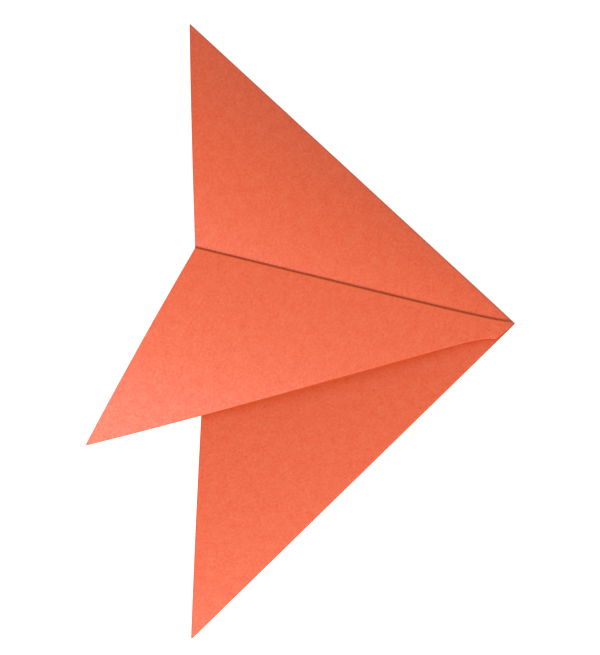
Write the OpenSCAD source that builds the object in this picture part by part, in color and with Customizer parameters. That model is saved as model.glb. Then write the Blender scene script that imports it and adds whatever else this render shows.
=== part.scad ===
// Paper fish folded from one square sheet.
// The sheet's centre is the nose. It is folded into a flat triangle of four
// flaps, and the front upper flap is then folded down across the body, so
// that its corner becomes the tail.

/* [Sheet] */
// Side of the square sheet before folding
sheet_side = 150; // [100:1:200]
// Thickness of the paper
paper_t = 0.12; // [0.08:0.01:0.15]
// Height from one pressed layer of paper to the next
ply_pitch = 0.22; // [0.2:0.01:0.3]
// Distance by which the tail's folded edge falls short of a true half diagonal
tail_miss = 0.5; // [0:0.1:1.2]
// Distance by which the lower fin's folded edge passes a true half diagonal
lower_miss = 0.3; // [0:0.1:1.2]

/* [Folds] */
// Angle of the upper fin's folded edge above the fish's long axis
upper_fin_angle = 43.1; // [41:0.1:45]
// Angle of the lower fin's folded edge below the long axis
lower_fin_angle = 44.2; // [43:0.1:45]
// Angle of the tail crease above the long axis
crease_angle = 12.9; // [12:0.1:17]
// Angle of the tail's lower folded edge below the long axis
tail_angle = 15.9; // [12:0.1:17]
// Angle of the body's middle line below the long axis
middle_angle = 1.8; // [0:0.1:3]
// Angle between the tail crease and the middle line, on the flat sheet
crease_on_sheet = 15.2; // [12:0.1:20]

/* [Spring of the paper] */
// Height to which the tail crease stands up on the layers below it
crease_rise = 5; // [2:0.1:7]
// Height of the upper fin's bulge above a flat slope, at the open edge
upper_fin_arch = 4; // [0.5:0.1:5]
// Height of the tail's bulge above a flat slope
tail_arch = 2.75; // [2:0.05:5]
// Height by which the tail's free corner droops below its pressed layer
tail_droop = 0.8; // [0:0.1:0.9]
// Height of the bulge of the lower fin's front flap above a flat slope
lower_fin_arch = 2.8; // [1.5:0.1:5]
// Height to which the folded edge of that flap opens, at its corner
lower_fin_rise = 3.5; // [0:0.1:6]
// Height of the lower fin's back gusset at the open edge
lower_gusset_arch = 0.9; // [0:0.1:1]
// Extra gap that opens between the two layers of a springy flap
layer_sag = 0.5; // [0:0.1:0.8]
// Length by which the front layer's open edge stands back at the middle
front_setback = 1.4; // [0:0.1:3]

/* [Nose] */
// Length of the tight nose, where the layers run together
nose_len = 4; // [3.9:0.1:8]
// Sideways bow of the tail crease, which passes the nose on the tail's side
crease_bow = 0.65; // [0:0.05:0.7]
// Sideways bow of the tail's lower folded edge
tail_bow = 1.2; // [0:0.1:1.3]
// Extra width of the tail's soft fold at the nose
nose_flare = 1.1; // [0:0.05:1.2]
// Half of the gap between the two inner folds at the middle
inner_fold_gap = 0.3; // [0.25:0.01:0.4]

/* [Smoothness] */
// Length of a facet across an arched layer, at the open edge
facet_across = 6.7; // [5:0.1:12]
// Length of a facet from the nose to the open edge, on average
facet_along = 6.2; // [5.2:0.1:12]

/* [Hidden] */

paper_colour = "tomato";

// Layers count up from the table, and these are their numbers
back = 0;
back_gusset = back + 1;
front_gusset = back_gusset + 1;
front = front_gusset + 1;
tail_lining = front + 1;
tail_top = tail_lining + 1;

// The sheet's half side and the distance from its centre to a corner
half = sheet_side / 2;
corner_r = half * sqrt(2);

// Stations from the nose to the open edge, and spans across an arched layer
stations = round(half / facet_along);
arch_spans = round(half * (1 - tan(crease_on_sheet)) / facet_across);
// Spans across the short hidden layers, and round each fold
hidden_spans = 3;
fold_steps = 4;
wrap_steps = 6;

// Share of the body's length that the tight nose takes
nose_s = nose_len / half;
// Stations crowd towards the nose by this power
crowding = 1.5;
// Length over which the soft fold at the nose dies away, as a share of the body
flare_reach = 0.025;
// Length over which the tail crease bends off its straight line from the nose
crease_bow_reach = 0.1;
// Strip of the lower fin beside the tail's folded edge that stays pressed
edge_strip = 0.4;
// The upper fin springs open faster than its width grows, by this power
fin_growth = 1.6;
// Rings between the tight nose's start and its tip, and how blunt its end is
nose_rings = 2;
nose_bluntness = 4;

function polar(r, a) = [-r * cos(a), r * sin(a)];
function unit(v) = v / norm(v);
function turn_left(v) = [-v.y, v.x];
function cross_z(a, b) = a.x * b.y - a.y * b.x;
// Where the line through p along v meets the line from the nose along w
function meet(p, v, w) = w * cross_z(p, v) / cross_z(w, v);

// Corners and edge points in plan, at the open edge, with the nose at zero
upper_tip = polar(corner_r, upper_fin_angle);
lower_tip = polar(corner_r + lower_miss, -lower_fin_angle);
tail_tip = polar(corner_r - tail_miss, -tail_angle);
crease_end = polar(half / cos(crease_on_sheet), crease_angle);
back_middle = polar(half, -middle_angle);
front_middle = polar(half - front_setback, -middle_angle);
notch = meet(lower_tip, front_middle - lower_tip, tail_tip);

// Directions in which the folds bulge
tail_out = turn_left(unit(tail_tip));
upper_out = -turn_left(unit(upper_tip));
crease_out = -turn_left(unit(crease_end));
lower_out = turn_left(unit(lower_tip));
up_page = [0, 1];

// Station s runs from nose_s, where the layers part, to 1 at the open edge
function station(i) = nose_s + (1 - nose_s) * pow(i / stations, crowding);
// Sideways shift of the tail's folded edge at station s, and of the tail crease
function bow(s) =
    tail_bow * (1 - pow(s, 4)) + nose_flare * exp(-(s - nose_s) / flare_reach);
function crease_shift(s) = crease_bow * (1 - s) * (1 - exp(-s / crease_bow_reach));

function level(k) = paper_t / 2 + k * ply_pitch;

// Hump from 0 at u = 0 through 1 at the middle to 0 at u = 1
function hump(u) = 4 * u * (1 - u);

// Key places at station s
function at_tail(s) = s * tail_tip + bow(s) * tail_out;
function at_notch(s) =
    let (edge = at_tail(s) + edge_strip * hump(s) * tail_out)
    s < 1 ? meet(s * lower_tip, s * (front_middle - lower_tip), edge) : notch;
function at_inner_fold(s, side) = s * back_middle + side * inner_fold_gap * up_page;

// Springy layers bend in two ways. The upper fin bends nearly as a cone, whose
// straight lines meet at the nose. The tail and the lower fin bend as
// cylinders, whose straight lines run along the crease or the tail's edge.
// u runs across the layer from 0 to 1. The hidden layers climb from the
// middle line, at 0, to the tail crease, at 1.
function tail_chord(s) = norm(at_tail(s) - s * crease_end);
function lower_chord(s) = norm(s * lower_tip - at_notch(s));
function tail_share(s) = tail_chord(s) / tail_chord(1);
function lower_share(s) = lower_chord(s) / lower_chord(1);
pressed = function(u, s) 0;
climb = function(u, s) crease_rise * s * u;
upper_lift = function(u, s)
    crease_rise * s * (1 - u) + upper_fin_arch * pow(s, fin_growth) * hump(u);
tail_lift = function(u, s)
    let (v = u * tail_share(s))
    crease_rise * s + tail_arch * hump(v) - (crease_rise + tail_droop) * v;
lining_lift = function(u, s) tail_lift(u, s) - layer_sag * s * hump(u);
lower_lift = function(u, s)
    let (v = u * lower_share(s))
    lower_fin_arch * hump(v) + lower_fin_rise * v;
gusset_lift = function(u, s) lower_lift(u, s) - layer_sag * lower_share(s) * hump(u);
back_gusset_lift = function(u, s) lower_gusset_arch * lower_share(s) * hump(u);

// Middle points of one layer at station s, from p to q. start and end are
// the layer's first and last u.
function layer(s, p, q, k, lift, start, end, spans, first = 0) =
    [for (i = [first:spans])
        let (
            t = i / spans,
            flat = p + t * (q - p),
            u = start + t * (end - start)
        )
        [flat.x, flat.y, level(k) + lift(u, s)]
    ];

// Middle points round a fold from layer k0 to layer k1 that bulges along out
function fold(p, out, k0, k1, lift, steps) =
    let (
        radius = abs(k1 - k0) * ply_pitch / 2,
        middle = (level(k0) + level(k1)) / 2 + lift
    )
    [for (i = [1:steps - 1])
        let (
            a = 180 * i / steps,
            reach = radius * sin(a),
            drop = radius * cos(a) * sign(k1 - k0)
        )
        [p.x + out.x * reach, p.y + out.y * reach, middle - drop]
    ];

// The sheet's whole loop round the nose at station s
function loop(s) =
    let (
        tuck = ply_pitch / 2,
        wrap = (tail_top - front_gusset) * tuck,
        upper = s * upper_tip - tuck * upper_out,
        lower = s * lower_tip - tuck * lower_out,
        tail = at_tail(s) - tuck * tail_out,
        crease = s * crease_end - (wrap + crease_shift(s)) * crease_out,
        under_crease = s * crease_end,
        notch_at = at_notch(s),
        upper_fold = at_inner_fold(s, 1),
        lower_fold = at_inner_fold(s, -1),
        back_mid = s * back_middle,
        front_mid = s * front_middle
    )
    concat(
        // back upper flap, out to the upper fin's tip and back over itself
        layer(s, back_mid, under_crease, back, pressed, 0, 1, hidden_spans),
        layer(s, under_crease, upper, back, pressed, 0, 1, arch_spans, 1),
        fold(upper, upper_out, back, back_gusset, 0, fold_steps),
        layer(s, upper, under_crease, back_gusset, upper_lift, 1, 0, arch_spans),
        layer(s, under_crease, upper_fold, back_gusset, climb, 1, 0, hidden_spans, 1),
        // inner fold at the middle, then out to the tail crease
        fold(upper_fold, -up_page, back_gusset, front_gusset, 0, fold_steps),
        layer(s, upper_fold, crease, front_gusset, climb, 0, 1, hidden_spans),
        // wrap round the crease, down the tail's top and back under it
        fold(crease, crease_out, front_gusset, tail_top, climb(1, s), wrap_steps),
        layer(s, crease, tail, tail_top, tail_lift, 0, 1, arch_spans),
        fold(tail, tail_out, tail_top, tail_lining, tail_lift(1, s), fold_steps),
        layer(s, tail, crease, tail_lining, lining_lift, 1, 0, arch_spans),
        fold(crease, crease_out, tail_lining, front, climb(1, s), wrap_steps),
        // front layer from the crease across the middle to the lower fin
        layer(s, crease, front_mid, front, climb, 1, 0, hidden_spans),
        layer(s, front_mid, notch_at, front, pressed, 0, 1, hidden_spans, 1),
        layer(s, notch_at, lower, front, lower_lift, 0, 1, arch_spans, 1),
        // the lower fin's gusset and the back layer
        fold(lower, lower_out, front, front_gusset, lower_lift(1, s), fold_steps),
        layer(s, lower, notch_at, front_gusset, gusset_lift, 1, 0, arch_spans),
        layer(s, notch_at, lower_fold, front_gusset, pressed, 0, 1, hidden_spans, 1),
        fold(lower_fold, up_page, front_gusset, back_gusset, 0, fold_steps),
        layer(s, lower_fold, notch_at, back_gusset, pressed, 0, 1, hidden_spans),
        layer(s, notch_at, lower, back_gusset, back_gusset_lift, 0, 1, arch_spans, 1),
        fold(lower, lower_out, back_gusset, back, 0, fold_steps),
        layer(s, lower, notch_at, back, pressed, 0, 1, arch_spans),
        layer(s, notch_at, back_mid, back, pressed, 0, 1, hidden_spans, 1)
    );

// The loop's last point repeats its first, so it is left out
function closed(points) = [for (i = [0:len(points) - 2]) points[i]];

// Places in the loop where its branches meet
branch = hidden_spans + arch_spans;
upper_fold_start = 2 * branch + fold_steps;
upper_fold_end = upper_fold_start + fold_steps;
front_mid_at = upper_fold_end + 2 * (hidden_spans + wrap_steps + arch_spans) + fold_steps;
lower_fold_start = front_mid_at + 2 * branch + fold_steps;
lower_fold_end = lower_fold_start + fold_steps;
count = lower_fold_end + 2 * branch + fold_steps;

// Flat wall between two facing runs of the loop, from their pair (i, j) inwards
function ladder(i, j, rungs) = [for (k = [0:rungs - 1]) [i + k, i + k + 1, j - k - 1, j - k]];
function closing(i, j) =
    let (rungs = (j - i) / 2 - 1)
    concat(ladder(i, j, rungs), [[i + rungs, i + rungs + 1, i + rungs + 2]]);
wall = concat(
    closing(0, upper_fold_start),
    closing(upper_fold_end, front_mid_at),
    closing(front_mid_at, lower_fold_start),
    closing(lower_fold_end, count),
    ladder(upper_fold_start, lower_fold_end, fold_steps),
    [[0, upper_fold_start, lower_fold_end]],
    [[upper_fold_end, front_mid_at, lower_fold_start]]
);

// The sheet's middle surface, station by station, and its faces half the
// paper's thickness to either side of it. Before the first station the
// surface runs level to the nose.
loops = [for (i = [0:stations]) closed(loop(station(i)))];
function place(i, j) =
    let (p = loops[min(max(i, 0), stations)][(j + count) % count])
    i < 0 ? [0, 0, p.z] : p;
function outward(i, j) =
    let (
        along = place(i + 1, j) - place(i - 1, j),
        across = place(i, j + 1) - place(i, j - 1)
    )
    unit(cross(along, across));
function face_points(side) =
    [for (i = [0:stations]) for (j = [0:count - 1])
        place(i, j) + side * paper_t / 2 * outward(i, j)];

// The tight nose is solid and has a blunt end. Its rings shrink towards the
// nose in plan, and keep most of their height until they are close to it.
function ring_share(n) = pow(1 - n / (nose_rings + 1), crowding);
function ring_height(t) = pow(1 - pow(1 - t, nose_bluntness), 1 / nose_bluntness);
function ring_point(n, j) =
    let (
        p = place(0, j) + paper_t / 2 * outward(0, j),
        t = ring_share(n)
    )
    [t * p.x, t * p.y, ring_height(t) * p.z];
ring_points = [for (n = [1:nose_rings]) for (j = [0:count - 1]) ring_point(n, j)];
nose = [0, 0, 0];
points = concat(face_points(1), face_points(-1), ring_points, [nose]);
nose_at = len(points) - 1;

function outer(i, j) = i * count + j % count;
function inner(i, j) = outer(i + stations + 1, j);
function ring(n, j) = n == 0 ? outer(0, j) : outer(n - 1 + 2 * (stations + 1), j);
faces = concat(
    [for (i = [0:stations - 1]) for (j = [0:count - 1])
        [outer(i, j), outer(i, j + 1), outer(i + 1, j + 1), outer(i + 1, j)]],
    [for (i = [0:stations - 1]) for (j = [0:count - 1])
        [inner(i, j), inner(i + 1, j), inner(i + 1, j + 1), inner(i, j + 1)]],
    [for (j = [0:count - 1])
        [outer(stations, j), outer(stations, j + 1), inner(stations, j + 1), inner(stations, j)]],
    [for (n = [1:nose_rings]) for (j = [0:count - 1])
        [ring(n, j), ring(n, j + 1), ring(n - 1, j + 1), ring(n - 1, j)]],
    [for (j = [0:count - 1]) [nose_at, ring(nose_rings, j + 1), ring(nose_rings, j)]],
    [for (f = wall) [for (j = f) inner(0, j)]]
);

// The origin lies under the middle of the fish's box, on the table
xs = [for (p = points) p.x];
ys = [for (p = points) p.y];
middle = [(min(xs) + max(xs)) / 2, (min(ys) + max(ys)) / 2, 0];

module folded_sheet() {
    color(paper_colour)
        translate(-middle)
            polyhedron(points, faces, convexity = 12);
}

folded_sheet();
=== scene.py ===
import math

import bpy
import numpy as np
from mathutils import Matrix, Vector


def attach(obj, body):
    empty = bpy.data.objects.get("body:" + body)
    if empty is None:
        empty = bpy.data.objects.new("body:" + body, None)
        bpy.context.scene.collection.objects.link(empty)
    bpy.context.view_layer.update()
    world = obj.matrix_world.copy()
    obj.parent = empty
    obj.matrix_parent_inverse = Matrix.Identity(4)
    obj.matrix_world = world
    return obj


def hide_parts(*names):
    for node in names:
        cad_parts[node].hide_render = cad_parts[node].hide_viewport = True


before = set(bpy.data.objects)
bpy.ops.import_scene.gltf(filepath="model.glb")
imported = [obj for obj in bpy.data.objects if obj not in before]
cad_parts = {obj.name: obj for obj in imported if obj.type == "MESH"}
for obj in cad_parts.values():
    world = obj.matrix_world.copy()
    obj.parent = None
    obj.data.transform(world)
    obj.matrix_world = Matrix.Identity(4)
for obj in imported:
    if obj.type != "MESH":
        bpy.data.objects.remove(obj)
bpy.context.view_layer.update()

# The folded sheet: a 150 mm square of thin orange folding paper, dyed right
# through. It is folded into a flat triangle round the sheet's centre, which is
# the nose, and the front upper flap is then folded down to make the tail.

# Lengths in this section are in millimetres and angles in degrees, seen from
# above, with the nose at zero. A station s runs from 0 at the nose to 1 at the
# open edge.
SHEET_SIDE = 150.0
PAPER_T = 0.12
PLY_PITCH = 0.22

# Where the folds run, and how far two corners miss an exact fold
UPPER_FIN_ANGLE = 43.1
LOWER_FIN_ANGLE = 44.2
CREASE_ANGLE = 12.9
TAIL_ANGLE = 15.9
MIDDLE_ANGLE = 1.8
CREASE_ON_SHEET = 15.2
TAIL_MISS = 0.5
LOWER_MISS = 0.3
FRONT_SETBACK = 1.4
INNER_FOLD_GAP = 0.3

# How the springy paper stands up from the table
CREASE_RISE = 5.0
UPPER_FIN_ARCH = 3.98
FIN_GROWTH = 1.6
TAIL_ARCH = 2.75
TAIL_DROOP = 0.8
LOWER_FIN_ARCH = 2.8
LOWER_FIN_RISE = 3.5
LOWER_GUSSET_ARCH = 0.9
LAYER_SAG = 0.5

# How the crease and the tail's lower fold leave a straight line, and the tight nose
CREASE_BOW = 0.65
CREASE_BOW_REACH = 0.1
TAIL_BOW = 1.2
NOSE_FLARE = 1.1
FLARE_REACH = 0.025
EDGE_STRIP = 0.4
NOSE_LEN = 4.0
NOSE_BLUNTNESS = 4

HALF = SHEET_SIDE / 2
CORNER_R = HALF * math.sqrt(2)
NOSE_S = NOSE_LEN / HALF

# How finely the sheet is meshed: along it, across a panel, across a hidden
# layer, round a fold and round the crease's wrap, with stations and nose rings
# crowded towards the nose
STATIONS = 72
ARCH_SPANS = 36
HIDDEN_SPANS = 8
FOLD_STEPS = 8
WRAP_STEPS = 12
NOSE_RINGS = 10
CROWDING = 1.5


def polar(radius, degrees):
    angle = math.radians(degrees)
    return np.array([-radius * math.cos(angle), radius * math.sin(angle)])


def unit(v):
    return v / np.linalg.norm(v)


def turn_left(v):
    return np.array([-v[1], v[0]])


def cross_z(a, b):
    return a[0] * b[1] - a[1] * b[0]


def meet(p, v, w):
    """Where the line through p along v meets the line from the nose along w."""
    return w * cross_z(p, v) / cross_z(w, v)


def hump(u):
    return 4 * u * (1 - u)


upper_tip = polar(CORNER_R, UPPER_FIN_ANGLE)
lower_tip = polar(CORNER_R + LOWER_MISS, -LOWER_FIN_ANGLE)
tail_tip = polar(CORNER_R - TAIL_MISS, -TAIL_ANGLE)
crease_end = polar(HALF / math.cos(math.radians(CREASE_ON_SHEET)), CREASE_ANGLE)
back_middle = polar(HALF, -MIDDLE_ANGLE)
front_middle = polar(HALF - FRONT_SETBACK, -MIDDLE_ANGLE)
notch = meet(lower_tip, front_middle - lower_tip, tail_tip)
tail_out = turn_left(unit(tail_tip))
upper_out = -turn_left(unit(upper_tip))
crease_out = -turn_left(unit(crease_end))
lower_out = turn_left(unit(lower_tip))
up_page = np.array([0.0, 1.0])


def level(k):
    """The height of the middle of layer k where the stack lies flat."""
    return PAPER_T / 2 + k * PLY_PITCH


def at_tail(s):
    """Where the tail's lower fold is at station s."""
    bow = TAIL_BOW * (1 - s**4) + NOSE_FLARE * math.exp(-(s - NOSE_S) / FLARE_REACH)
    return s * tail_tip + bow * tail_out


def at_notch(s):
    """Where the lower fin's layers come out from under the tail."""
    if s >= 1:
        return notch
    edge = at_tail(s) + EDGE_STRIP * hump(s) * tail_out
    return meet(s * lower_tip, s * (front_middle - lower_tip), edge)


# How wide the tail and the visible lower fin are at a station, against the open edge
def tail_share(s):
    return np.linalg.norm(at_tail(s) - s * crease_end) / np.linalg.norm(tail_tip - crease_end)


def lower_share(s):
    return np.linalg.norm(s * lower_tip - at_notch(s)) / np.linalg.norm(lower_tip - notch)


# How high each kind of layer stands over its level, at a share u of the way
# from its inner end to its outer fold
def pressed(u, s):
    return 0.0 * u


def climb(u, s):
    return CREASE_RISE * s * u


def upper_lift(u, s):
    return CREASE_RISE * s * (1 - u) + UPPER_FIN_ARCH * s**FIN_GROWTH * hump(u)


def tail_lift(u, s):
    v = u * tail_share(s)
    return CREASE_RISE * s + TAIL_ARCH * hump(v) - (CREASE_RISE + TAIL_DROOP) * v


def lining_lift(u, s):
    return tail_lift(u, s) - LAYER_SAG * s * hump(u)


def lower_lift(u, s):
    v = u * lower_share(s)
    return LOWER_FIN_ARCH * hump(v) + LOWER_FIN_RISE * v


def gusset_lift(u, s):
    return lower_lift(u, s) - LAYER_SAG * lower_share(s) * hump(u)


def back_gusset_lift(u, s):
    return LOWER_GUSSET_ARCH * lower_share(s) * hump(u)


# The sheet's four quarters, by the direction of each one's raw edge on the flat
# sheet, and the places on an edge where the crease and the notch lie
BACK, UPPER, FRONT, LOWER = 0, 1, 2, 3
CREASE_E = HALF * math.tan(math.radians(CREASE_ON_SHEET))
NOTCH_E = HALF * np.linalg.norm(notch - front_middle) / np.linalg.norm(lower_tip - front_middle)


def on_sheet(s, quarter, e):
    """Places on the flat sheet, from 0 to 1 each way, at distance e along a quarter's edge."""
    angle = quarter * math.pi / 2
    out = np.array([math.cos(angle), math.sin(angle)])
    flat = s * (HALF * out[None, :] + np.outer(e, turn_left(out)))
    return 0.5 + flat / SHEET_SIDE


def layer(s, p, q, k, lift, start, end, spans, quarter, e0, e1, first=0):
    """Middle points of one layer at station s from p to q, with their places on the flat sheet."""
    t = np.arange(first, spans + 1) / spans
    if lift is not pressed:
        # An arched layer's points crowd a little towards its folds
        t = (t + (1 - np.cos(math.pi * t)) / 2) / 2
    u = start + t * (end - start)
    flat = p[None, :] + t[:, None] * (q - p)[None, :]
    z = level(k) + lift(u, s)
    return np.column_stack([flat, z]), on_sheet(s, quarter, e0 + t * (e1 - e0))


def fold(s, p, out, k0, k1, lift, steps, quarter, e):
    """Middle points round a fold from layer k0 to layer k1 that bulges along out."""
    radius = abs(k1 - k0) * PLY_PITCH / 2
    middle = (level(k0) + level(k1)) / 2 + lift
    a = math.pi * np.arange(1, steps) / steps
    flat = p[None, :] + radius * np.sin(a)[:, None] * out[None, :]
    z = middle - radius * np.cos(a) * np.sign(k1 - k0)
    return np.column_stack([flat, z]), on_sheet(s, quarter, np.full(steps - 1, e))


def loop(s):
    """The whole sheet's middle line round the nose at station s."""
    tuck = PLY_PITCH / 2
    wrap = 3 * tuck
    upper = s * upper_tip - tuck * upper_out
    lower = s * lower_tip - tuck * lower_out
    tail = at_tail(s) - tuck * tail_out
    shift = CREASE_BOW * (1 - s) * (1 - math.exp(-s / CREASE_BOW_REACH))
    crease = s * crease_end - (wrap + shift) * crease_out
    under = s * crease_end
    notch_at = at_notch(s)
    upper_fold = s * back_middle + INNER_FOLD_GAP * up_page
    lower_fold = s * back_middle - INNER_FOLD_GAP * up_page
    back_mid = s * back_middle
    front_mid = s * front_middle
    hid, arch = HIDDEN_SPANS, ARCH_SPANS
    lift_crease = climb(1.0, s)
    lift_tail = float(tail_lift(1.0, s))
    lift_lower = float(lower_lift(1.0, s))
    # The runs follow the paper from the back layer round through every fold
    runs = [
        layer(s, back_mid, under, 0, pressed, 0, 1, hid, BACK, 0, CREASE_E),
        layer(s, under, upper, 0, pressed, 0, 1, arch, BACK, CREASE_E, HALF, 1),
        fold(s, upper, upper_out, 0, 1, 0, FOLD_STEPS, BACK, HALF),
        layer(s, upper, under, 1, upper_lift, 1, 0, arch, UPPER, -HALF, -CREASE_E),
        layer(s, under, upper_fold, 1, climb, 1, 0, hid, UPPER, -CREASE_E, 0, 1),
        fold(s, upper_fold, -up_page, 1, 2, 0, FOLD_STEPS, UPPER, 0),
        layer(s, upper_fold, crease, 2, climb, 0, 1, hid, UPPER, 0, CREASE_E),
        fold(s, crease, crease_out, 2, 5, lift_crease, WRAP_STEPS, UPPER, CREASE_E),
        layer(s, crease, tail, 5, tail_lift, 0, 1, arch, UPPER, CREASE_E, HALF),
        fold(s, tail, tail_out, 5, 4, lift_tail, FOLD_STEPS, UPPER, HALF),
        layer(s, tail, crease, 4, lining_lift, 1, 0, arch, FRONT, -HALF, -CREASE_E),
        fold(s, crease, crease_out, 4, 3, lift_crease, WRAP_STEPS, FRONT, -CREASE_E),
        layer(s, crease, front_mid, 3, climb, 1, 0, hid, FRONT, -CREASE_E, 0),
        layer(s, front_mid, notch_at, 3, pressed, 0, 1, hid, FRONT, 0, NOTCH_E, 1),
        layer(s, notch_at, lower, 3, lower_lift, 0, 1, arch, FRONT, NOTCH_E, HALF, 1),
        fold(s, lower, lower_out, 3, 2, lift_lower, FOLD_STEPS, FRONT, HALF),
        layer(s, lower, notch_at, 2, gusset_lift, 1, 0, arch, LOWER, -HALF, -NOTCH_E),
        layer(s, notch_at, lower_fold, 2, pressed, 0, 1, hid, LOWER, -NOTCH_E, 0, 1),
        fold(s, lower_fold, up_page, 2, 1, 0, FOLD_STEPS, LOWER, 0),
        layer(s, lower_fold, notch_at, 1, pressed, 0, 1, hid, LOWER, 0, NOTCH_E),
        layer(s, notch_at, lower, 1, back_gusset_lift, 0, 1, arch, LOWER, NOTCH_E, HALF, 1),
        fold(s, lower, lower_out, 1, 0, 0, FOLD_STEPS, LOWER, HALF),
        layer(s, lower, notch_at, 0, pressed, 0, 1, arch, BACK, -HALF, -NOTCH_E),
        layer(s, notch_at, back_mid, 0, pressed, 0, 1, hid, BACK, -NOTCH_E, 0, 1),
    ]
    return np.vstack([r[0] for r in runs]), np.vstack([r[1] for r in runs])


station_s = NOSE_S + (1 - NOSE_S) * (np.arange(STATIONS + 1) / STATIONS) ** CROWDING
rings = [loop(s) for s in station_s]
middle = np.array([r[0][:-1] for r in rings])
sheet_uv = np.array([r[1][:-1] for r in rings])
count = middle.shape[1]

# Each face of the paper lies half its thickness off the middle surface
before = np.concatenate([middle[:1] * (0, 0, 1), middle[:-1]])
after = np.concatenate([middle[1:], middle[-1:]])
across = np.roll(middle, -1, axis=1) - np.roll(middle, 1, axis=1)
normals = np.cross(after - before, across)
normals /= np.linalg.norm(normals, axis=2, keepdims=True)
outer_face = middle + PAPER_T / 2 * normals
inner_face = middle - PAPER_T / 2 * normals

# The tight nose is solid and has a blunt end: its rings shrink towards the nose
# in plan, and keep most of their height until they are close to it
ring_share = (1 - np.arange(1, NOSE_RINGS + 1) / (NOSE_RINGS + 1)) ** CROWDING
ring_height = (1 - (1 - ring_share) ** NOSE_BLUNTNESS) ** (1 / NOSE_BLUNTNESS)
ring_scale = np.column_stack([ring_share, ring_share, ring_height])
ring_points = ring_scale[:, None, :] * outer_face[0]
ring_uv = 0.5 + ring_share[:, None, None] * (sheet_uv[0] - 0.5)
nose = np.zeros((1, 3))
points = np.concatenate([p.reshape(-1, 3) for p in (outer_face, inner_face, ring_points, nose)])

branch = HIDDEN_SPANS + ARCH_SPANS
upper_start = 2 * branch + FOLD_STEPS
upper_end = upper_start + FOLD_STEPS
front_at = upper_end + 2 * (HIDDEN_SPANS + WRAP_STEPS + ARCH_SPANS) + FOLD_STEPS
lower_start = front_at + 2 * branch + FOLD_STEPS
lower_end = lower_start + FOLD_STEPS


def ladder(i, j, rungs):
    return [[i + k, i + k + 1, j - k - 1, j - k] for k in range(rungs)]


def closing(i, j):
    """A flat wall between two facing runs of the loop, with a triangle in their fold."""
    rungs = (j - i) // 2 - 1
    return ladder(i, j, rungs) + [[i + rungs, i + rungs + 1, i + rungs + 2]]


wall = (
    closing(0, upper_start)
    + closing(upper_end, front_at)
    + closing(front_at, lower_start)
    + closing(lower_end, count)
    + ladder(upper_start, lower_end, FOLD_STEPS)
    + [[0, upper_start, lower_end], [upper_end, front_at, lower_start]]
)


def outer(i, j):
    return i * count + j % count


def inner(i, j):
    return (i + STATIONS + 1) * count + j % count


def ring(n, j):
    return outer(0, j) if n == 0 else outer(n - 1 + 2 * (STATIONS + 1), j)


PAPER_FACE, PAPER_EDGE = 0, 1
faces, face_slots = [], []
for i in range(STATIONS):
    for j in range(count):
        faces.append([outer(i, j), outer(i + 1, j), outer(i + 1, j + 1), outer(i, j + 1)])
        faces.append([inner(i, j), inner(i, j + 1), inner(i + 1, j + 1), inner(i + 1, j)])
        face_slots += [PAPER_FACE, PAPER_FACE]
for n in range(NOSE_RINGS):
    for j in range(count):
        faces.append([ring(n + 1, j), ring(n, j), ring(n, j + 1), ring(n + 1, j + 1)])
        face_slots.append(PAPER_FACE)
nose_at = len(points) - 1
for j in range(count):
    faces.append([nose_at, ring(NOSE_RINGS, j), ring(NOSE_RINGS, j + 1)])
    face_slots.append(PAPER_FACE)
for f in wall:
    faces.append([inner(0, j) for j in reversed(f)])
    face_slots.append(PAPER_FACE)
for j in range(count):
    last = STATIONS
    faces.append([inner(last, j), inner(last, j + 1), outer(last, j + 1), outer(last, j)])
    face_slots.append(PAPER_EDGE)

# The frame's origin lies under the middle of the fish's box
MM = 0.001
box_middle = (points.min(axis=0) + points.max(axis=0)) / 2 * (1, 1, 0)
nose_place = Vector(-box_middle * MM)
sheet_mesh = bpy.data.meshes.new("paper_sheet")
sheet_mesh.from_pydata(((points - box_middle) * MM).tolist(), [], faces)
sheet_mesh.polygons.foreach_set("material_index", face_slots)
sheet_mesh.polygons.foreach_set("use_smooth", [True] * len(faces))

# The UV map lays each point back on the flat sheet
flat_uv = np.concatenate([uv.reshape(-1, 2) for uv in (sheet_uv, sheet_uv, ring_uv, np.full((1, 2), 0.5))])
corner_vertex = np.zeros(len(sheet_mesh.loops), np.int32)
sheet_mesh.loops.foreach_get("vertex_index", corner_vertex)
uv_map = sheet_mesh.uv_layers.new(name="sheet")
uv_map.uv.foreach_set("vector", flat_uv[corner_vertex].astype(np.float32).ravel())
sheet_mesh.validate()
sheet_mesh.update()

SHARP_ANGLE = 50.0
paper_sheet = bpy.data.objects.new("paper_sheet", sheet_mesh)
bpy.context.scene.collection.objects.link(paper_sheet)
sheet_mesh.set_sharp_from_angle(angle=math.radians(SHARP_ANGLE))
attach(paper_sheet, "root")
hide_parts("folded_sheet")


# Paper fibre: the cloudy, slightly mottled dye and the felted fibres of thin
# coloured paper, with a few darker specks. The faces and the cut edges of the
# sheet both use it. Sizes are on the flat sheet, whose side is 1 here.
BLOTCH_SCALE = 60.0
CLOUD_SCALE = 240.0
FIBRE_SCALE = 700.0
FUZZ_SCALE = 1500.0
FIBRE_STRETCH = (1.0, 0.4, 1.0)
SPECK_CELLS = 40.0
SPECK_RADIUS = 0.12
SPECK_RAGGED = 0.08
SPECK_SOFTNESS = 0.05
SPECKED_SHARE = 0.035


def new_group(name, inputs, outputs):
    """An empty node group with the named inputs and outputs."""
    group = bpy.data.node_groups.new(name, "ShaderNodeTree")
    for label, kind, value in inputs:
        socket = group.interface.new_socket(label, in_out="INPUT", socket_type=kind)
        if value is not None:
            socket.default_value = value
    for label, kind in outputs:
        group.interface.new_socket(label, in_out="OUTPUT", socket_type=kind)
    return group, group.nodes.new("NodeGroupInput"), group.nodes.new("NodeGroupOutput")


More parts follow.
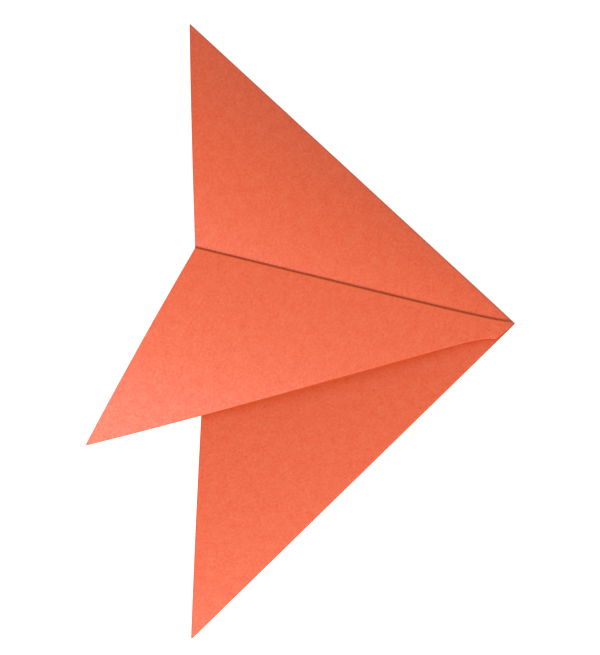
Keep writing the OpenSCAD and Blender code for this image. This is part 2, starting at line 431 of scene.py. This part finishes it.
def math_node(tree, operation, a, b=None, clamp=False):
    node = tree.nodes.new("ShaderNodeMath")
    node.operation = operation
    node.use_clamp = clamp
    for socket, value in zip(node.inputs, (a, b)):
        if isinstance(value, (int, float)):
            socket.default_value = value
        elif value is not None:
            tree.links.new(value, socket)
    return node.outputs[0]


def noise_node(tree, coordinates, scale, detail, roughness, distortion=0.0):
    node = tree.nodes.new("ShaderNodeTexNoise")
    node.inputs["Detail"].default_value = detail
    node.inputs["Roughness"].default_value = roughness
    node.inputs["Distortion"].default_value = distortion
    tree.links.new(coordinates, node.inputs["Vector"])
    if isinstance(scale, (int, float)):
        node.inputs["Scale"].default_value = scale
    else:
        tree.links.new(scale, node.inputs["Scale"])
    return node.outputs["Fac"]


def weighted_sum(tree, terms):
    total = None
    for value, weight in terms:
        part = math_node(tree, "MULTIPLY", value, weight)
        total = part if total is None else math_node(tree, "ADD", total, part)
    return total


fibre_group, fibre_in, fibre_out = new_group(
    "paper fibre",
    [
        ("Sheet", "NodeSocketVector", None),
        ("Blotches", "NodeSocketFloat", BLOTCH_SCALE),
        ("Clouds", "NodeSocketFloat", CLOUD_SCALE),
        ("Fibres", "NodeSocketFloat", FIBRE_SCALE),
        ("Speck Cells", "NodeSocketFloat", SPECK_CELLS),
    ],
    [("Mottle", "NodeSocketFloat"), ("Specks", "NodeSocketFloat"), ("Height", "NodeSocketFloat")],
)
sheet_at = fibre_in.outputs["Sheet"]
blotches = noise_node(
    fibre_group, sheet_at, fibre_in.outputs["Blotches"], detail=2.0, roughness=0.5, distortion=0.3
)
clouds = noise_node(
    fibre_group, sheet_at, fibre_in.outputs["Clouds"], detail=3.0, roughness=0.6, distortion=0.4
)
stretched = fibre_group.nodes.new("ShaderNodeVectorMath")
stretched.operation = "MULTIPLY"
stretched.inputs[1].default_value = FIBRE_STRETCH
fibre_group.links.new(sheet_at, stretched.inputs[0])
grain = noise_node(
    fibre_group, stretched.outputs[0], fibre_in.outputs["Fibres"], detail=3.0, roughness=0.6, distortion=0.8
)
fuzz = noise_node(fibre_group, sheet_at, FUZZ_SCALE, detail=2.0, roughness=0.5)
mottle = weighted_sum(fibre_group, ((blotches, 0.18), (clouds, 0.42), (grain, 0.4)))
fibre_group.links.new(mottle, fibre_out.inputs["Mottle"])
height = weighted_sum(fibre_group, ((clouds, 0.25), (grain, 0.45), (fuzz, 0.3)))
fibre_group.links.new(height, fibre_out.inputs["Height"])

# A few cells of the sheet hold one small ragged speck each
cells = fibre_group.nodes.new("ShaderNodeTexVoronoi")
cells.voronoi_dimensions = "2D"
fibre_group.links.new(sheet_at, cells.inputs["Vector"])
fibre_group.links.new(fibre_in.outputs["Speck Cells"], cells.inputs["Scale"])
ragged_speck = weighted_sum(fibre_group, ((cells.outputs["Distance"], 1.0), (grain, SPECK_RAGGED)))
speck = math_node(fibre_group, "SUBTRACT", SPECK_RADIUS, ragged_speck)
speck = math_node(fibre_group, "DIVIDE", speck, SPECK_SOFTNESS, clamp=True)
chosen = fibre_group.nodes.new("ShaderNodeSeparateColor")
fibre_group.links.new(cells.outputs["Color"], chosen.inputs["Color"])
chosen = math_node(fibre_group, "LESS_THAN", chosen.outputs["Red"], SPECKED_SHARE)
specks = math_node(fibre_group, "MULTIPLY", speck, chosen)
fibre_group.links.new(specks, fibre_out.inputs["Specks"])

# Painted fold shade: along the tail crease the colour is painted browner, as the
# shade in the crease's gap, and along the upper fin's fold darker, as the shade of
# the fold turning from the light. Its masks come from distances on the flat
# sheet, and the cut edges have one too.
FOLD_MASK_WIDTH = 0.003
RAGGED_SCALE = 220.0
RAGGED_STRENGTH = 1.8
SHEET_MIDDLE = 0.5
shade_and_edge_group, shade_and_edge_in, shade_and_edge_out = new_group(
    "painted fold shade and edge masks",
    [
        ("Sheet", "NodeSocketVector", None),
        ("Width", "NodeSocketFloat", FOLD_MASK_WIDTH),
    ],
    [
        ("Crease", "NodeSocketFloat"),
        ("Fin Fold", "NodeSocketFloat"),
        ("Edges", "NodeSocketFloat"),
    ],
)
split = shade_and_edge_group.nodes.new("ShaderNodeSeparateXYZ")
shade_and_edge_group.links.new(shade_and_edge_in.outputs["Sheet"], split.inputs[0])
from_middle = [
    math_node(shade_and_edge_group, "ABSOLUTE", math_node(shade_and_edge_group, "SUBTRACT", split.outputs[axis], SHEET_MIDDLE))
    for axis in "XY"
]
nearer = math_node(shade_and_edge_group, "MINIMUM", *from_middle)
farther = math_node(shade_and_edge_group, "MAXIMUM", *from_middle)
to_diagonal = math_node(shade_and_edge_group, "SUBTRACT", farther, nearer)
to_edge = math_node(shade_and_edge_group, "SUBTRACT", SHEET_MIDDLE, farther)
crease_at = math_node(shade_and_edge_group, "MULTIPLY", farther, math.tan(math.radians(CREASE_ON_SHEET)))
to_crease = math_node(shade_and_edge_group, "ABSOLUTE", math_node(shade_and_edge_group, "SUBTRACT", nearer, crease_at))

# Only the quarters beside the tail's corner are creased again, and only the
# diagonal to the upper fin's corner counts as its fold
off_tail = math_node(shade_and_edge_group, "LESS_THAN", split.outputs["Y"], split.outputs["X"])
to_crease = math_node(shade_and_edge_group, "ADD", to_crease, off_tail)
upper_corner = math_node(shade_and_edge_group, "MINIMUM", split.outputs["X"], split.outputs["Y"])
off_fin = math_node(shade_and_edge_group, "LESS_THAN", upper_corner, SHEET_MIDDLE)
to_fin_fold = math_node(shade_and_edge_group, "ADD", to_diagonal, off_fin)

# The masks fade ragged, as fibres do
ragged = noise_node(shade_and_edge_group, shade_and_edge_in.outputs["Sheet"], RAGGED_SCALE, detail=3.0, roughness=0.6)
ragged = math_node(shade_and_edge_group, "MULTIPLY", ragged, RAGGED_STRENGTH)
for distance, label in ((to_crease, "Crease"), (to_fin_fold, "Fin Fold"), (to_edge, "Edges")):
    near = math_node(shade_and_edge_group, "DIVIDE", distance, shade_and_edge_in.outputs["Width"])
    mask = math_node(shade_and_edge_group, "SUBTRACT", 1.0, near, clamp=True)
    mask = math_node(shade_and_edge_group, "MULTIPLY", mask, ragged)
    shade_and_edge_group.links.new(mask, shade_and_edge_out.inputs[label])


# The paper itself: matt, with a faint gloss that spreads wide, dyed in the pulp
# so that its cut edges are coloured too. On top, painted shade makes the crease
# browner and the upper fin's fold darker than the rest.
PAPER_DYE = (0.8, 0.141, 0.051)
PAPER_DEEP_DYE = (0.735, 0.069, 0.009)
# Painted shade: the crease's browner tint stands for the shade in the crease's gap
CREASE_SHADE_TINT = (0.78, 0.115, 0.01)
# Painted shade: the upper fin's fold is darkened where it turns from the light
FIN_FOLD_SHADE = (0.5, 0.07, 0.015)
SPECK_DYE = (0.48, 0.05, 0.02)
CREASE_SHADE_DEPTH = 0.8
FIN_FOLD_SHADE_DEPTH = 0.9
SPECK_DEPTH = 0.7
EDGE_DEPTH = 0.25
MEAN_MOTTLE = 0.5
HALF_DEEP = 0.5
PAPER_GLOSS = 0.72
MOTTLED_ROUGHNESS = 0.5
FELT_DEPTH = 0.00006


def dye_and_shade_mix(tree, colour, tint, mask, depth):
    """The colour, turned towards a tint where the mask is high: a darker dye for the specks, painted shade
    for the crease and the fin's fold.
    """
    mix = tree.nodes.new("ShaderNodeMix")
    mix.data_type = "RGBA"
    tree.links.new(math_node(tree, "MULTIPLY", mask, depth, clamp=True), mix.inputs["Factor"])
    tree.links.new(colour, mix.inputs["A"])
    mix.inputs["B"].default_value = (*tint, 1)
    return mix.outputs["Result"]


def paper_material(name, tint, deep_dye, mottling, relief, roughness, fibre_scale, mask_width):
    """Matt paper with its dye mottled, a few darker specks and a felted surface."""
    material = bpy.data.materials.new(name)
    material.use_nodes = True
    tree = material.node_tree
    shader = tree.nodes["Principled BSDF"]
    shader.inputs["Specular IOR Level"].default_value = PAPER_GLOSS
    sheet_place = tree.nodes.new("ShaderNodeUVMap")
    sheet_place.uv_map = "sheet"
    fibre = tree.nodes.new("ShaderNodeGroup")
    fibre.node_tree = fibre_group
    shade_and_edge = tree.nodes.new("ShaderNodeGroup")
    shade_and_edge.node_tree = shade_and_edge_group
    for node in (fibre, shade_and_edge):
        tree.links.new(sheet_place.outputs["UV"], node.inputs["Sheet"])
    fibre.inputs["Fibres"].default_value = fibre_scale
    shade_and_edge.inputs["Width"].default_value = mask_width

    mottle = math_node(tree, "SUBTRACT", fibre.outputs["Mottle"], MEAN_MOTTLE)
    deep = weighted_sum(tree, ((mottle, mottling), (shade_and_edge.outputs["Edges"], EDGE_DEPTH)))
    deep = math_node(tree, "ADD", deep, HALF_DEEP, clamp=True)
    mottled = tree.nodes.new("ShaderNodeMix")
    mottled.data_type = "RGBA"
    tree.links.new(deep, mottled.inputs["Factor"])
    mottled.inputs["A"].default_value = (*tint, 1)
    mottled.inputs["B"].default_value = (*deep_dye, 1)
    # Painted shade: the crease is tinted browner and the upper fin's fold darker; the specks are the
    # paper's own
    colour = dye_and_shade_mix(tree, mottled.outputs["Result"], CREASE_SHADE_TINT, shade_and_edge.outputs["Crease"], CREASE_SHADE_DEPTH)
    colour = dye_and_shade_mix(tree, colour, FIN_FOLD_SHADE, shade_and_edge.outputs["Fin Fold"], FIN_FOLD_SHADE_DEPTH)
    colour = dye_and_shade_mix(tree, colour, SPECK_DYE, fibre.outputs["Specks"], SPECK_DEPTH)
    tree.links.new(colour, shader.inputs["Base Color"])

    rough = math_node(tree, "ADD", roughness, math_node(tree, "MULTIPLY", mottle, MOTTLED_ROUGHNESS))
    tree.links.new(rough, shader.inputs["Roughness"])
    felt = tree.nodes.new("ShaderNodeBump")
    felt.inputs["Strength"].default_value = relief
    felt.inputs["Distance"].default_value = FELT_DEPTH
    tree.links.new(fibre.outputs["Height"], felt.inputs["Height"])
    tree.links.new(felt.outputs["Normal"], shader.inputs["Normal"])
    return material


paper_face = paper_material(
    "paper face",
    PAPER_DYE,
    PAPER_DEEP_DYE,
    mottling=4.2,
    relief=0.6,
    roughness=0.54,
    fibre_scale=FIBRE_SCALE,
    mask_width=FOLD_MASK_WIDTH,
)
paper_edge = paper_material(
    "paper cut edge",
    PAPER_DEEP_DYE,
    PAPER_DYE,
    mottling=5.0,
    relief=1.0,
    roughness=0.75,
    fibre_scale=900.0,
    mask_width=0.004,
)
sheet_mesh.materials.append(paper_face)
sheet_mesh.materials.append(paper_edge)

# The table: a plain white studio surface that the fish lies on. The camera and
# reflections see it as white, and it keeps the fish's own soft shadow.
TABLE_SIZE = 3.0
TABLE_DROP = 0.00005
TABLE_WHITE = 0.85
TABLE_ROUGHNESS = 0.9
TABLE_GLOSS = 0.1
TABLE_GLOW = 0.55
bpy.ops.mesh.primitive_plane_add(size=TABLE_SIZE, location=(0, 0, -TABLE_DROP))
table = bpy.context.object
table.name = "table"
table_material = bpy.data.materials.new("white table")
table_material.use_nodes = True
tree = table_material.node_tree
table_shader = tree.nodes["Principled BSDF"]
table_shader.inputs["Base Color"].default_value = (TABLE_WHITE, TABLE_WHITE, TABLE_WHITE, 1)
table_shader.inputs["Roughness"].default_value = TABLE_ROUGHNESS
table_shader.inputs["Specular IOR Level"].default_value = TABLE_GLOSS
glow = tree.nodes.new("ShaderNodeEmission")
glow.inputs["Color"].default_value = (1, 1, 1, 1)
rays = tree.nodes.new("ShaderNodeLightPath")
seen = math_node(tree, "MAXIMUM", rays.outputs["Is Camera Ray"], rays.outputs["Is Glossy Ray"])
seen = math_node(tree, "MAXIMUM", seen, rays.outputs["Is Transmission Ray"])
tree.links.new(math_node(tree, "MULTIPLY", seen, TABLE_GLOW), glow.inputs["Strength"])
both = tree.nodes.new("ShaderNodeAddShader")
tree.links.new(table_shader.outputs[0], both.inputs[0])
tree.links.new(glow.outputs[0], both.inputs[1])
tree.links.new(both.outputs[0], tree.nodes["Material Output"].inputs["Surface"])
table.data.materials.append(table_material)

# The light: one soft round lamp high at the lower left, as in the photograph,
# and an even white room. The camera sees the room as plain white.
KEY_AZIMUTH = 247.0
KEY_ELEVATION = 50.0
KEY_DISTANCE = 0.9
KEY_SIZE = 0.36
KEY_POWER = 6.8
ROOM_STRENGTH = 0.53


def from_polar(azimuth, elevation, distance):
    a, e = math.radians(azimuth), math.radians(elevation)
    return Vector((math.cos(a) * math.cos(e), math.sin(a) * math.cos(e), math.sin(e))) * distance


key_data = bpy.data.lights.new("key", "AREA")
key_data.shape = "DISK"
key_data.size = KEY_SIZE
key_data.energy = KEY_POWER
key = bpy.data.objects.new("key", key_data)
bpy.context.scene.collection.objects.link(key)
key.location = from_polar(KEY_AZIMUTH, KEY_ELEVATION, KEY_DISTANCE)
key.rotation_euler = key.location.to_track_quat("Z", "Y").to_euler()

world = bpy.data.worlds.new("white room")
bpy.context.scene.world = world
world.use_nodes = True
tree = world.node_tree
room = tree.nodes["Background"]
room.inputs["Color"].default_value = (1, 1, 1, 1)
rays = tree.nodes.new("ShaderNodeLightPath")
seen = math_node(tree, "MAXIMUM", rays.outputs["Is Camera Ray"], rays.outputs["Is Transmission Ray"])
to_white = math_node(tree, "MULTIPLY", seen, 1 - ROOM_STRENGTH)
tree.links.new(math_node(tree, "ADD", ROOM_STRENGTH, to_white), room.inputs["Strength"])

# The camera: it looks almost straight down at the fish, from a little below the
# lower fin. The image is taken to be 600 by 655 pixels, and the target is
# measured from the nose, in metres.
IMAGE_TALL = 655
CAMERA_DISTANCE = 0.650
CAMERA_PITCH = 6.81
FOCAL_PX = 2742.4
TARGET = Vector((-0.0510, -0.00089, 0))
SENSOR = 36.0
camera_data = bpy.data.cameras.new("camera")
camera_data.sensor_width = SENSOR
camera_data.lens = FOCAL_PX * SENSOR / IMAGE_TALL
camera = bpy.data.objects.new("camera", camera_data)
bpy.context.scene.collection.objects.link(camera)
pitch = math.radians(CAMERA_PITCH)
away = Vector((0, -math.sin(pitch), math.cos(pitch)))
right = Vector((1, 0, 0))
turn = Matrix((right, away.cross(right), away)).transposed()
camera.matrix_world = Matrix.Translation(nose_place + TARGET + CAMERA_DISTANCE * away) @ turn.to_4x4()
bpy.context.scene.camera = camera

bpy.context.scene.view_settings.view_transform = "Standard"
